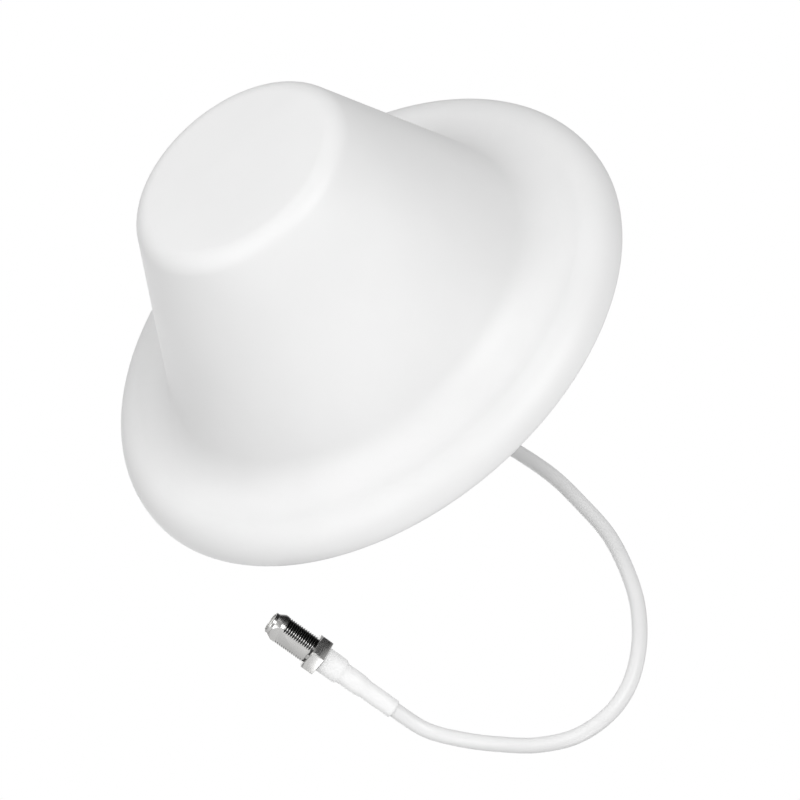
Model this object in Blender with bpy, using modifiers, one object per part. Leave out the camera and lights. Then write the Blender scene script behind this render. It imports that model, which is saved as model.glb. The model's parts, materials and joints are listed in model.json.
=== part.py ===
"""Indoor ceiling dome antenna of a cellular signal booster.

Metres, +Z up. The origin is the middle of the back face, where the antenna
meets the ceiling: the dome hangs below it and the threaded stud rises above
it. Depths are measured down from the ceiling plane, heights up from it.
"""
import math

import bmesh
import bpy
from mathutils import Matrix, Vector
from mathutils.geometry import interpolate_bezier

# Radome: a turned cone with a rolled rim
RIM_RADIUS = 0.0925
DOME_DEPTH = 0.083
WALL = 0.0025
RIM_ROLL = 0.0095          # radius of the rolled rim
RIM_BAND = 0.0012          # straight edge above the roll
CONE_FOOT_RADIUS = 0.0733  # where the cone would meet the ceiling plane
CONE_HALF_ANGLE = math.radians(23.86)
VALLEY_RADIUS = 0.015      # hollow between rim and cone
CROWN_FILLET = 0.008       # edge round of the flat crown
DOME_STEPS = 48

# Base plate and threaded stud
GAP = 0.0003               # clearance between touching pieces
BASE_RADIUS = 0.0894
BASE_THICKNESS = 0.003
STUD_HEIGHT = 0.026
STUD_CORE = 0.0090
STUD_CREST = 0.0100
STUD_BORE = 0.0050
THREAD_PITCH = 0.002
THREAD_START = 0.0010      # height of the thread's first turn
THREAD_TURNS = 11.5
COVER_SCREW_RING = 0.080
COVER_SCREW_ANGLES = [45, 135, 225, 315]

# Ceiling nut and its washer
PANEL_THICKNESS = 0.0125   # the ceiling panel they clamp
WASHER_THICKNESS = 0.002
WASHER_RADIUS = 0.0205
NUT_ACROSS_FLATS = 0.030
NUT_FLANGE_RADIUS = 0.0185
NUT_FLANGE_THICKNESS = 0.002
NUT_HEIGHT = 0.008
NUT_BORE = 0.01035
NUT_CREST = 0.00925

# Ground plane and radiator
PLANE_RADIUS = 0.072
PLANE_TOP = 0.0060         # depths below the ceiling plane
PLANE_THICKNESS = 0.0008
PLANE_SCREW_RING = 0.058
PLANE_SCREW_ANGLES = [0, 90, 180, 270]
RADIATOR_RADIUS = 0.028
RADIATOR_WALL = 0.0008
CONE_APEX_DEPTH = 0.0095
CONE_END_DEPTH = 0.054
SKIRT_END_DEPTH = 0.0635
HAT_RADIUS = 0.0345
HAT_THICKNESS = 0.0008
LEG_RING = 0.0325
LEG_ANGLES = [90, 210, 330]
POST_RING = 0.0320
POST_ANGLES = [30, 150, 270]

# Coaxial cable
CABLE_RADIUS = 0.002475
BRAID_RADIUS = 0.00215
DIELECTRIC_RADIUS = 0.001475
CONDUCTOR_RADIUS = 0.00045
STRIP_DEPTH = 0.0020       # where the jacket ends, inside the housing
GROMMET_TOP = 0.0320       # height at which the cable leaves the grommet

# The free cable's route, from the grommet to the back of the crimp
CORD_ROUTE = [
    (0.0000, 0.000, 0.0323),     # straight up out of the grommet
    (0.0000, 0.000, 0.0370),
    (-0.002, -0.002, 0.046),     # over the top of the first bend
    (-0.005, -0.007, 0.054),
    (-0.009, -0.015, 0.060),
    (-0.012, -0.024, 0.063),
    (-0.015, -0.040, 0.065),     # long sweep outwards
    (-0.016, -0.056, 0.067),
    (-0.016, -0.073, 0.069),
    (-0.013, -0.090, 0.070),
    (-0.008, -0.104, 0.072),
    (0.000, -0.117, 0.073),
    (0.010, -0.126, 0.074),      # round the far side
    (0.021, -0.130, 0.074),
    (0.033, -0.128, 0.074),
    (0.044, -0.120, 0.074),
    (0.053, -0.110, 0.073),
    (0.061, -0.101, 0.070),      # down towards the connector
    (0.068, -0.093, 0.064),
    (0.0715, -0.08650, 0.05450),     # straight into the sleeve
    (0.0730, -0.08325, 0.04925),
    (0.0745, -0.08000, 0.04400),
]
CORD_STEP = 0.010          # spacing of the tube's points

# Connector, measured along its axis from the end of the cable
SLEEVE_LENGTHS = [0.0124, 0.0078, 0.0079]   # over cable, crimp and shank
SLEEVE_RADII = [0.00305, 0.00350, 0.00425]
FERRULE_RADIUS = 0.0028
SHANK_RADIUS = 0.0035
HEX_ACROSS_FLATS = 0.0118
HEX_LENGTH = 0.0043
BARREL_RADIUS = 0.0047
BARREL_LENGTH = 0.0127
BARREL_TAPER = 0.0016      # cone between the barrel and the nose
NOSE_RADIUS = 0.0036
NOSE_LENGTH = 0.0013
BARREL_BORE = 0.0028
BARREL_FLAT = 0.0037       # distance of the barrel's flat from its axis
FLAT_ANGLE = -40.0         # where the flat faces, round the connector's axis
HEX_TURN = 16.5            # turn of the hexagon round the connector's axis

PARTS = "ceiling_dome_antenna"
CUTTERS = "cutters"


def start_clean():
    for item in list(bpy.data.objects):
        bpy.data.objects.remove(item, do_unlink=True)
    for name in (PARTS, CUTTERS):
        group = bpy.data.collections.get(name) or bpy.data.collections.new(name)
        if group.name not in bpy.context.scene.collection.children:
            bpy.context.scene.collection.children.link(group)


def finish_material(name, colour, roughness, metallic=0.0):
    material = bpy.data.materials.new(name)
    material.use_nodes = True
    shader = material.node_tree.nodes["Principled BSDF"]
    shader.inputs["Base Color"].default_value = (*colour, 1.0)
    shader.inputs["Roughness"].default_value = roughness
    shader.inputs["Metallic"].default_value = metallic
    return material


def white_plastic(name):
    return finish_material(name, (0.86, 0.86, 0.86), 0.38)


def natural_plastic(name):
    return finish_material(name, (0.80, 0.79, 0.74), 0.45)


def aluminium_sheet(name):
    return finish_material(name, (0.78, 0.79, 0.80), 0.35, 1.0)


def tinned_brass(name):
    return finish_material(name, (0.80, 0.72, 0.50), 0.30, 1.0)


def plated_steel(name):
    return finish_material(name, (0.66, 0.67, 0.68), 0.25, 1.0)


def nickel_plate(name):
    return finish_material(name, (0.72, 0.71, 0.69), 0.16, 1.0)


def white_jacket(name):
    return finish_material(name, (0.84, 0.84, 0.84), 0.35)


def link(item, group=PARTS):
    bpy.data.collections[group].objects.link(item)
    return item


def new_object(name, mesh, group=PARTS, material=None):
    item = link(bpy.data.objects.new(name, mesh), group)
    if group == CUTTERS:
        item.hide_render = True
        item.display_type = "WIRE"
    if material is not None:
        mesh.materials.append(material)
    return item


def turned(name, outline, steps=32, group=PARTS, material=None):
    """Spin an outline of (radius, height) points about Z.

    It runs down the outer side. An outline that starts and ends on the axis
    is a solid; any other is closed into a ring.
    """
    mesh = bpy.data.meshes.new(name)
    points = [(radius, 0.0, height) for radius, height in outline]
    edges = [(i, i + 1) for i in range(len(points) - 1)]
    if outline[0][0] > 0.0 or outline[-1][0] > 0.0:
        edges.append((len(points) - 1, 0))
    mesh.from_pydata(points, edges, [])
    item = new_object(name, mesh, group, material)
    screw = item.modifiers.new("Turn", "SCREW")
    screw.axis = "Z"
    screw.steps = steps
    screw.render_steps = steps
    screw.use_merge_vertices = True
    screw.merge_threshold = 0.00001
    screw.use_smooth_shade = True
    return item


def ring_outline(inner, outer, top, bottom):
    return [(inner, top), (outer, top), (outer, bottom), (inner, bottom)]


def disc_outline(radius, top, bottom):
    return [(0.0, top), (radius, top), (radius, bottom), (0.0, bottom)]


def on_ring(radius, degrees, height=0.0):
    angle = math.radians(degrees)
    return Vector((radius * math.cos(angle), radius * math.sin(angle), height))


def add_cylinder(mesh, centre, radius, top, bottom, segments=16, top_radius=None):
    place = Matrix.Translation((centre.x, centre.y, (top + bottom) / 2))
    bmesh.ops.create_cone(
        mesh, cap_ends=True, segments=segments, radius1=radius,
        radius2=radius if top_radius is None else top_radius,
        depth=top - bottom, matrix=place)


def add_box(mesh, centre, size, degrees=0.0):
    place = Matrix.Translation(centre) @ Matrix.Rotation(math.radians(degrees), 4, "Z")
    bmesh.ops.create_cube(mesh, size=1.0, matrix=place @ Matrix.Diagonal((*size, 1.0)))


def from_bmesh(name, mesh, group=PARTS, material=None):
    data = bpy.data.meshes.new(name)
    mesh.to_mesh(data)
    mesh.free()
    return new_object(name, data, group, material)


def boolean(item, operation, other):
    step = item.modifiers.new(operation.title(), "BOOLEAN")
    step.operation = operation
    step.solver = "EXACT"
    step.object = other


def arc(centre, radius, start, end, steps):
    """Points of an arc in (radius, depth), from start to end in radians."""
    points = []
    for i in range(steps + 1):
        angle = start + (end - start) * i / steps
        points.append((centre[0] + radius * math.cos(angle),
                       centre[1] + radius * math.sin(angle)))
    return points


def dome_outline(inset):
    """Half of the dome's section, (radius, depth), from the rim to the crown.

    inset moves the whole section inwards, so the wall is even. The rolled
    rim, the valley and the cone all meet smoothly.
    """
    normal = Vector((math.cos(CONE_HALF_ANGLE), math.sin(CONE_HALF_ANGLE)))
    along = Vector((-math.sin(CONE_HALF_ANGLE), math.cos(CONE_HALF_ANGLE)))
    roll = Vector((RIM_RADIUS - RIM_ROLL, RIM_BAND))
    foot = Vector((CONE_FOOT_RADIUS, 0.0)) + normal * VALLEY_RADIUS
    offset = foot - roll
    reach = offset.dot(along)
    spare = offset.length_squared - (VALLEY_RADIUS + RIM_ROLL) ** 2
    valley = foot + along * (math.sqrt(reach * reach - spare) - reach)
    between = valley - roll
    turn = math.atan2(between.y, between.x)
    crown_depth = DOME_DEPTH - CROWN_FILLET
    crown = Vector((CONE_FOOT_RADIUS - crown_depth * math.tan(CONE_HALF_ANGLE)
                    - CROWN_FILLET / math.cos(CONE_HALF_ANGLE), crown_depth))
    outline = [(RIM_RADIUS - inset, 0.0)]
    outline += arc(roll, RIM_ROLL - inset, 0.0, turn, 5)
    outline += arc(valley, VALLEY_RADIUS + inset, turn - math.pi,
                   CONE_HALF_ANGLE - math.pi, 4)[1:]
    outline += arc(crown, CROWN_FILLET - inset, CONE_HALF_ANGLE, math.pi / 2, 3)
    outline.append((0.0, DOME_DEPTH - inset))
    return outline


def helix_ridge(name, start, turns, foot, crest, per_turn):
    """A screw thread's ridge, from its foot radius to its crest radius."""
    sink = 0.0004 if foot < crest else -0.0004
    mesh = bmesh.new()
    rings = []
    count = int(turns * per_turn)
    fade = per_turn // 3
    for i in range(count + 1):
        angle = 2 * math.pi * i / per_turn
        height = start + THREAD_PITCH * i / per_turn
        share = min(1.0, i / fade, (count - i) / fade)
        tip = foot + (crest - foot) * max(share, 0.05)
        section = [(foot - sink, -0.00055), (tip, -0.00015),
                   (tip, 0.00015), (foot - sink, 0.00055)]
        rings.append([
            mesh.verts.new((radius * math.cos(angle), radius * math.sin(angle), height + rise))
            for radius, rise in section])
    for before, after in zip(rings, rings[1:]):
        for k in range(4):
            mesh.faces.new((before[k], before[(k + 1) % 4], after[(k + 1) % 4], after[k]))
    mesh.faces.new(rings[0])
    mesh.faces.new(rings[-1])
    bmesh.ops.recalc_face_normals(mesh, faces=mesh.faces)
    return from_bmesh(name, mesh, CUTTERS)


def make_radome():
    outer = [(radius, -depth) for radius, depth in dome_outline(0.0)]
    inner = [(radius, -depth) for radius, depth in dome_outline(WALL)]
    radome = turned("radome", inner[::-1] + outer, DOME_STEPS,
                    material=white_plastic("radome_abs"))
    bosses = bmesh.new()
    pilots = bmesh.new()
    for degrees in COVER_SCREW_ANGLES:
        centre = on_ring(COVER_SCREW_RING, degrees)
        add_cylinder(bosses, centre, 0.004, -BASE_THICKNESS - GAP, -0.0093)
        add_cylinder(pilots, centre, 0.0015, 0.0, -0.0085, 12)
    boolean(radome, "UNION", from_bmesh("radome_bosses", bosses, CUTTERS))
    boolean(radome, "DIFFERENCE", from_bmesh("radome_pilots", pilots, CUTTERS))


def make_base_plate():
    depth = BASE_THICKNESS
    outline = [
        (STUD_BORE, STUD_HEIGHT),
        (STUD_CORE - 0.0006, STUD_HEIGHT),
        (STUD_CORE, STUD_HEIGHT - 0.0008),
        (STUD_CORE, 0.0),
        (BASE_RADIUS, 0.0),
        (BASE_RADIUS, -depth),
        (0.0750, -depth),
        (0.0750, -0.0052),       # ring that centres the ground plane
        (0.0735, -0.0052),
        (0.0735, -depth),
        (0.0420, -depth),
        (0.0420, -0.0048),       # stiffening ring
        (0.0405, -0.0048),
        (0.0405, -depth),
        (0.0150, -depth),
        (0.0130, -0.0044),       # thick hub under the stud
        (STUD_BORE, -0.0044),
    ]
    base = turned("base_plate", outline, DOME_STEPS, material=white_plastic("base_abs"))
    ridge = helix_ridge("stud_thread", THREAD_START, THREAD_TURNS, STUD_CORE, STUD_CREST, 12)
    boolean(base, "UNION", ridge)
    extras = bmesh.new()
    holes = bmesh.new()
    for degrees in PLANE_SCREW_ANGLES:
        centre = on_ring(PLANE_SCREW_RING, degrees)
        add_cylinder(extras, centre, 0.0035, -0.0020, -PLANE_TOP + GAP)
        add_cylinder(holes, centre, 0.0014, -0.0012, -0.0080, 12)
    for i in range(8):
        degrees = 22.5 + 45.0 * i
        middle = on_ring(0.0575, degrees, -0.0034)
        add_box(extras, middle, (0.0290, 0.0014, 0.0026), degrees)
    for degrees in COVER_SCREW_ANGLES:
        centre = on_ring(COVER_SCREW_RING, degrees)
        add_cylinder(holes, centre, 0.0016, 0.0010, -0.0040, 12)
    sinks = bmesh.new()
    for degrees in COVER_SCREW_ANGLES:
        centre = on_ring(COVER_SCREW_RING, degrees)
        add_cylinder(sinks, centre, 0.0016, 0.0002, -0.0018, 16, top_radius=0.0035)
    boolean(base, "UNION", from_bmesh("base_bosses", extras, CUTTERS))
    boolean(base, "DIFFERENCE", from_bmesh("base_holes", holes, CUTTERS))
    boolean(base, "DIFFERENCE", from_bmesh("base_countersinks", sinks, CUTTERS))


def make_screw(name, place, outline, slot_height, material):
    """A turned screw at its place, with a slot across its head."""
    screw = turned(name, outline, 16, material=material)
    screw.location = place
    slot = bmesh.new()
    add_box(slot, Vector((0.0, 0.0, slot_height)), (0.0036, 0.0006, 0.0012))
    slot = from_bmesh(name + "_slot", slot, CUTTERS)
    slot.parent = screw
    boolean(screw, "DIFFERENCE", slot)


def make_cover_screws():
    """Flat-headed screws that pull the base plate onto the radome's bosses."""
    outline = [(0.0, 0.0), (0.0029, 0.0), (0.0012, -0.0016), (0.0012, -0.0060),
               (0.0006, -0.0066), (0.0, -0.0066)]
    for number, degrees in enumerate(COVER_SCREW_ANGLES, start=1):
        make_screw(f"base_screw_{number}", on_ring(COVER_SCREW_RING, degrees, -0.0004),
                   outline, 0.0, plated_steel(f"base_screw_{number}_zinc"))


def make_pan_screws(name, ring, angles, seat, length):
    """Pan-headed screws that go up into bosses, heads downwards."""
    outline = [(0.0, length), (0.0011, length), (0.0011, 0.0), (0.0026, 0.0),
               (0.0026, -0.0006), (0.0019, -0.0015), (0.0, -0.0015)]
    for number, degrees in enumerate(angles, start=1):
        make_screw(f"{name}_{number}", on_ring(ring, degrees, -seat), outline, -0.0015,
                   plated_steel(f"{name}_{number}_zinc"))


def joint_empty(name, location, parent=None):
    empty = link(bpy.data.objects.new(name, None))
    empty.location = location
    empty.parent = parent
    return empty


def make_washer_and_nut():
    """Both ride on the stud's axis: the washer slides, the nut turns on it."""
    slide = joint_empty("nut_slide_axis", (0.0, 0.0, PANEL_THICKNESS))
    washer = turned("nut_washer", [
        (0.0106, WASHER_THICKNESS), (WASHER_RADIUS - 0.0004, WASHER_THICKNESS),
        (WASHER_RADIUS, WASHER_THICKNESS - 0.0004), (WASHER_RADIUS, 0.0),
        (0.0106, 0.0)], 32, material=natural_plastic("washer_nylon"))
    washer.parent = slide

    turn = joint_empty("nut_turn_axis", (0.0, 0.0, WASHER_THICKNESS + GAP), slide)
    nut = turned("mounting_nut", [
        (NUT_BORE, NUT_FLANGE_THICKNESS), (NUT_FLANGE_RADIUS - 0.0005, NUT_FLANGE_THICKNESS),
        (NUT_FLANGE_RADIUS, NUT_FLANGE_THICKNESS - 0.0006), (NUT_FLANGE_RADIUS, 0.0004),
        (NUT_FLANGE_RADIUS - 0.0004, 0.0), (NUT_BORE, 0.0)], 32,
        material=white_plastic("nut_abs"))
    nut.parent = turn
    hexagon = bmesh.new()
    corner = NUT_ACROSS_FLATS / 2 / math.cos(math.pi / 6)
    add_cylinder(hexagon, Vector(), corner, NUT_HEIGHT, 0.0006, 6)
    hexagon = from_bmesh("nut_hexagon", hexagon, CUTTERS)
    bevel = hexagon.modifiers.new("Edges", "BEVEL")
    bevel.width = 0.0006
    bevel.segments = 2
    bore = turned("nut_bore", disc_outline(NUT_BORE, NUT_HEIGHT + 0.002, -0.002), 32, CUTTERS)
    ridge_start = THREAD_START + 7.5 * THREAD_PITCH
    seat = PANEL_THICKNESS + WASHER_THICKNESS + GAP
    ridge = helix_ridge("nut_thread", ridge_start - seat, 3.0, NUT_BORE, NUT_CREST, 16)
    for tool in (hexagon, bore, ridge):
        tool.parent = turn
    boolean(nut, "UNION", hexagon)
    boolean(nut, "DIFFERENCE", bore)
    boolean(nut, "UNION", ridge)


def make_ground_plane():
    low = -PLANE_TOP - PLANE_THICKNESS
    plane = turned("ground_plane", ring_outline(0.0035, PLANE_RADIUS, -PLANE_TOP, low), DOME_STEPS,
                   material=aluminium_sheet("plane_aluminium"))
    holes = bmesh.new()
    for degrees in PLANE_SCREW_ANGLES:
        add_cylinder(holes, on_ring(PLANE_SCREW_RING, degrees), 0.0016, -0.0040, -0.0090, 12)
    for degrees in POST_ANGLES:
        add_cylinder(holes, on_ring(POST_RING, degrees), 0.0021, -0.0040, -0.0090, 12)
    boolean(plane, "DIFFERENCE", from_bmesh("plane_holes", holes, CUTTERS))
    make_pan_screws("ground_plane_screw", PLANE_SCREW_RING, PLANE_SCREW_ANGLES,
                    PLANE_TOP + PLANE_THICKNESS + GAP, 0.0045)


def make_radiator():
    tip = CONE_APEX_DEPTH
    wall = RADIATOR_WALL
    radius = RADIATOR_RADIUS
    turned("radiator_cone", [
        (0.0008, -tip), (0.0030, -tip), (0.0030, -tip - 0.0022),
        (radius, -CONE_END_DEPTH), (radius, -SKIRT_END_DEPTH),
        (radius - wall, -SKIRT_END_DEPTH), (radius - wall, -CONE_END_DEPTH - 0.0003),
        (0.0026, -tip - 0.0034), (0.0008, -tip - 0.0034)], 32,
        material=tinned_brass("cone_brass"))

    top = -SKIRT_END_DEPTH - GAP
    hat = turned("radiator_hat", [
        (0.0120, top), (HAT_RADIUS, top), (HAT_RADIUS, top - HAT_THICKNESS),
        (0.0120, top - HAT_THICKNESS)], 32, material=tinned_brass("hat_brass"))
    holes = bmesh.new()
    for degrees in POST_ANGLES:
        add_cylinder(holes, on_ring(POST_RING, degrees), 0.0016, top + 0.002, top - 0.003, 12)
    boolean(hat, "DIFFERENCE", from_bmesh("hat_holes", holes, CUTTERS))

    plane_face = -PLANE_TOP - PLANE_THICKNESS - GAP
    for number, degrees in enumerate(POST_ANGLES, start=1):
        post = turned(f"standoff_{number}", [
            (0.0, -PLANE_TOP), (0.0018, -PLANE_TOP), (0.0018, plane_face),
            (0.0024, plane_face), (0.0024, top + GAP), (0.0014, top + GAP),
            (0.0014, top + 0.0080), (0.0, top + 0.0080)], 16,
            material=natural_plastic(f"standoff_{number}_nylon"))
        post.location = on_ring(POST_RING, degrees)
    make_pan_screws("radiator_screw", POST_RING, POST_ANGLES,
                    -top + HAT_THICKNESS + GAP, 0.0060)

    for number, degrees in enumerate(LEG_ANGLES, start=1):
        make_leg(f"shorting_leg_{number}", degrees, plane_face, top + GAP)


def make_leg(name, degrees, foot_height, head_height):
    """A strip of sheet bent into a Z, from the hat down to the ground plane."""
    thick = 0.0006
    outline = [
        (LEG_RING - 0.0002, head_height), (LEG_RING + thick, head_height),
        (LEG_RING + thick, foot_height - thick), (LEG_RING + 0.0070, foot_height - thick),
        (LEG_RING + 0.0070, foot_height), (LEG_RING, foot_height),
        (LEG_RING, head_height + thick), (LEG_RING - 0.0030, head_height + thick),
        (LEG_RING - 0.0030, head_height)]
    half = 0.0028
    leg = bmesh.new()
    face = leg.faces.new([leg.verts.new((x, -half, z)) for x, z in outline[1:]])
    swept = bmesh.ops.extrude_face_region(leg, geom=[face])
    moved = [item for item in swept["geom"] if isinstance(item, bmesh.types.BMVert)]
    bmesh.ops.translate(leg, vec=(0.0, 2 * half, 0.0), verts=moved)
    bmesh.ops.recalc_face_normals(leg, faces=leg.faces)
    item = from_bmesh(name, leg, material=tinned_brass(name + "_brass"))
    item.rotation_euler.z = math.radians(degrees)


def make_feed():
    """The stripped end of the cable, where it joins the radiator."""
    turned("inner_cable", disc_outline(CABLE_RADIUS, GROMMET_TOP, -STRIP_DEPTH), 16,
           material=white_jacket("inner_jacket"))
    strip = -STRIP_DEPTH - GAP
    underside = -PLANE_TOP + GAP
    turned("coax_braid", ring_outline(DIELECTRIC_RADIUS + GAP, BRAID_RADIUS, strip, underside), 16,
           material=tinned_brass("braid_copper"))
    turned("braid_collar", ring_outline(BRAID_RADIUS + GAP, 0.0048, -0.0047, underside), 24,
           material=tinned_brass("collar_brass"))
    turned("coax_dielectric",
           ring_outline(CONDUCTOR_RADIUS + GAP, DIELECTRIC_RADIUS, strip, -0.0091), 16,
           material=natural_plastic("dielectric_pe"))
    turned("centre_conductor", disc_outline(CONDUCTOR_RADIUS, strip, -0.0125), 12,
           material=tinned_brass("conductor_copper"))
    face = -PLANE_TOP - PLANE_THICKNESS
    turned("feed_insulator", [
        (DIELECTRIC_RADIUS + GAP, -PLANE_TOP), (0.0032, -PLANE_TOP), (0.0032, face - GAP),
        (0.0052, face - GAP), (0.0052, face - 0.0013), (DIELECTRIC_RADIUS + GAP, face - 0.0013)],
        16, material=natural_plastic("feed_ptfe"))


def make_grommet():
    bore = CABLE_RADIUS + GAP
    top = GROMMET_TOP - GAP
    turned("cable_grommet", [
        (bore, top), (0.0038, top), (0.0060, STUD_HEIGHT + 0.0026),
        (0.0078, STUD_HEIGHT + 0.0020), (0.0078, STUD_HEIGHT + GAP),
        (STUD_BORE - GAP, STUD_HEIGHT + GAP), (STUD_BORE - GAP, 0.0150), (bore, 0.0150)], 24,
        material=finish_material("grommet_rubber", (0.80, 0.80, 0.80), 0.6))


def smooth_route(points, step):
    """Read evenly spaced points from a smooth curve through the route."""
    points = [Vector(point) for point in points]
    ahead = points[1:] + [points[-1]]
    behind = [points[0]] + points[:-1]
    slopes = [(a - b) / 6 for a, b in zip(ahead, behind)]
    fine = [points[0]]
    for i in range(len(points) - 1):
        fine += interpolate_bezier(points[i], points[i] + slopes[i],
                                   points[i + 1] - slopes[i + 1], points[i + 1], 33)[1:]
    lengths = [0.0]
    for before, after in zip(fine, fine[1:]):
        lengths.append(lengths[-1] + (after - before).length)
    count = round(lengths[-1] / step)
    even = []
    k = 0
    for i in range(count + 1):
        target = lengths[-1] * i / count
        while k < len(fine) - 2 and lengths[k + 1] < target:
            k += 1
        share = (target - lengths[k]) / (lengths[k + 1] - lengths[k])
        even.append(fine[k].lerp(fine[k + 1], share))
    return even


def make_cord():
    route = smooth_route(CORD_ROUTE, CORD_STEP)
    curve = bpy.data.curves.new("pigtail_cable", "CURVE")
    curve.dimensions = "3D"
    curve.bevel_depth = CABLE_RADIUS
    curve.bevel_resolution = 2
    curve.use_fill_caps = True
    spline = curve.splines.new("POLY")
    spline.points.add(len(route) - 1)
    for target, point in zip(spline.points, route):
        target.co = (*point, 1.0)
    curve.materials.append(white_jacket("pigtail_jacket"))
    link(bpy.data.objects.new("pigtail_cable", curve))


def connector_frame():
    """The axis that the connector lies on, from the end of the cable outwards."""
    end = Vector(CORD_ROUTE[-1])
    axis = (end - Vector(CORD_ROUTE[-3])).normalized()
    side = axis.cross(Vector((0.0, 0.0, 1.0))).normalized()
    lift = side.cross(axis)
    frame = Matrix((side, lift, axis)).transposed().to_4x4()
    frame.translation = end
    return frame


def make_connector():
    """Sleeve, crimp and jack; heights here run along the connector's axis."""
    frame = connector_frame()
    over_cable, over_crimp, over_shank = SLEEVE_LENGTHS
    slim, middle, wide = SLEEVE_RADII
    shank_start = over_crimp
    hex_start = shank_start + over_shank
    hex_end = hex_start + HEX_LENGTH
    barrel_end = hex_end + BARREL_LENGTH
    nose_start = barrel_end + BARREL_TAPER
    nose_end = nose_start + NOSE_LENGTH
    pieces = []

    pieces.append(turned("heat_shrink", [
        (SHANK_RADIUS + GAP, hex_start - GAP), (wide, hex_start - GAP), (wide, shank_start),
        (middle, shank_start - 0.0008), (middle, 0.0), (slim, -0.0008), (slim, -over_cable),
        (CABLE_RADIUS + GAP, -over_cable), (CABLE_RADIUS + GAP, -0.0004),
        (FERRULE_RADIUS + GAP, 0.0), (FERRULE_RADIUS + GAP, shank_start - 0.0004),
        (SHANK_RADIUS + GAP, shank_start)], 24, material=white_jacket("sleeve_shrink")))
    pieces.append(turned("crimp_ferrule", ring_outline(
        0.0017, FERRULE_RADIUS, shank_start, GAP), 24, material=nickel_plate("ferrule_nickel")))

    body = turned("connector_body", [
        (BARREL_BORE, nose_end), (NOSE_RADIUS - 0.0004, nose_end),
        (NOSE_RADIUS, nose_end - 0.0004), (NOSE_RADIUS, nose_start), (BARREL_RADIUS, barrel_end),
        (BARREL_RADIUS, hex_end), (BARREL_RADIUS, hex_start), (SHANK_RADIUS, hex_start),
        (SHANK_RADIUS, shank_start + GAP), (0.0017, shank_start + GAP),
        (0.0017, hex_start), (BARREL_BORE, hex_start)], 24,
        material=nickel_plate("connector_nickel"))
    flat = bmesh.new()
    add_box(flat, on_ring(BARREL_FLAT + 0.005, FLAT_ANGLE, (hex_end + nose_end) / 2 + 0.0005),
            (0.01, 0.02, nose_end - hex_end), FLAT_ANGLE)
    flat = from_bmesh("barrel_flat", flat, CUTTERS)
    hexagon = bmesh.new()
    corner = HEX_ACROSS_FLATS / 2 / math.cos(math.pi / 6)
    add_cylinder(hexagon, Vector(), corner, hex_end, hex_start, 6)
    bmesh.ops.rotate(hexagon, verts=hexagon.verts,
                     matrix=Matrix.Rotation(math.radians(HEX_TURN), 3, "Z"))
    bmesh.ops.bevel(hexagon, geom=hexagon.edges[:], offset=0.0003, segments=1,
                    affect="EDGES", profile=0.5)
    hexagon = from_bmesh("connector_hexagon", hexagon, CUTTERS)
    hollow = turned("connector_hollow", disc_outline(BARREL_BORE, hex_end, hex_start + 0.0001),
                    24, CUTTERS)
    boolean(body, "DIFFERENCE", flat)
    boolean(body, "UNION", hexagon)
    boolean(body, "DIFFERENCE", hollow)
    pieces += [body, flat, hexagon, hollow]

    pieces.append(turned("connector_insulator", ring_outline(
        0.0012, BARREL_BORE - GAP, nose_end - 0.0004, hex_start + 0.0010), 16,
        material=natural_plastic("insulator_ptfe")))
    pieces.append(turned("connector_contact", ring_outline(
        0.00045, 0.0009, nose_end - 0.0010, hex_start + 0.0010), 16,
        material=tinned_brass("contact_brass")))
    for piece in pieces:
        piece.matrix_world = frame


def round_shading():
    """Smooth the round faces and keep the corners crisp."""
    for item in bpy.data.collections[PARTS].objects:
        if item.type == "MESH" and item.data.polygons:
            item.data.shade_smooth()
            item.data.set_sharp_from_angle(angle=math.radians(35))


def build():
    start_clean()
    make_radome()
    make_base_plate()
    make_cover_screws()
    make_washer_and_nut()
    make_ground_plane()
    make_radiator()
    make_feed()
    make_grommet()
    make_cord()
    make_connector()
    round_shading()


build()
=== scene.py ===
import json
import math

import bpy
from mathutils import Matrix, Vector


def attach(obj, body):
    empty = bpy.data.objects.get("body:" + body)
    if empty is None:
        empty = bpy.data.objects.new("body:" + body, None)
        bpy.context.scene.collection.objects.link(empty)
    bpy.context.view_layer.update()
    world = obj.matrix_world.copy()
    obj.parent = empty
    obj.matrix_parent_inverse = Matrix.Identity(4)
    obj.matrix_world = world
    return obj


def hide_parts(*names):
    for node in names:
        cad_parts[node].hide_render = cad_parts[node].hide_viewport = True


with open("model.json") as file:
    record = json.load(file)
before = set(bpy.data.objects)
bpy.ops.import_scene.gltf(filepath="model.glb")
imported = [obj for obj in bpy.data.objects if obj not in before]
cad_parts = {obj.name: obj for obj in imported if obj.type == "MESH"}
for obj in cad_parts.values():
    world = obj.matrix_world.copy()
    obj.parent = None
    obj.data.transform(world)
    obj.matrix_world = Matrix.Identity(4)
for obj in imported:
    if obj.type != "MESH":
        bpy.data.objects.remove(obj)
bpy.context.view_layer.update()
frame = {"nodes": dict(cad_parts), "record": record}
print("frame loaded:", len(frame["nodes"]), "CAD nodes")

gap = 0.0003  # clearance between touching pieces


# small helpers for the modelling steps

def dropSelection():
    if bpy.context.object and bpy.context.object.mode != "OBJECT":
        bpy.ops.object.mode_set(mode="OBJECT")
    bpy.ops.object.select_all(action="DESELECT")


def pick(piece):
    dropSelection()
    piece.select_set(True)
    bpy.context.view_layer.objects.active = piece


def named(name):  # the object that was just added
    piece = bpy.context.object
    piece.name = name
    piece.data.name = name
    return piece


def applyStep(piece, step):
    pick(piece)
    bpy.ops.object.modifier_apply(modifier=step.name)


def settle(piece):  # the piece's place goes into its mesh
    pick(piece)
    bpy.ops.object.transform_apply(location=True, rotation=True, scale=True)


def roundShade(piece, degrees=30):
    pick(piece)
    bpy.ops.object.shade_smooth_by_angle(angle=math.radians(degrees))


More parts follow.
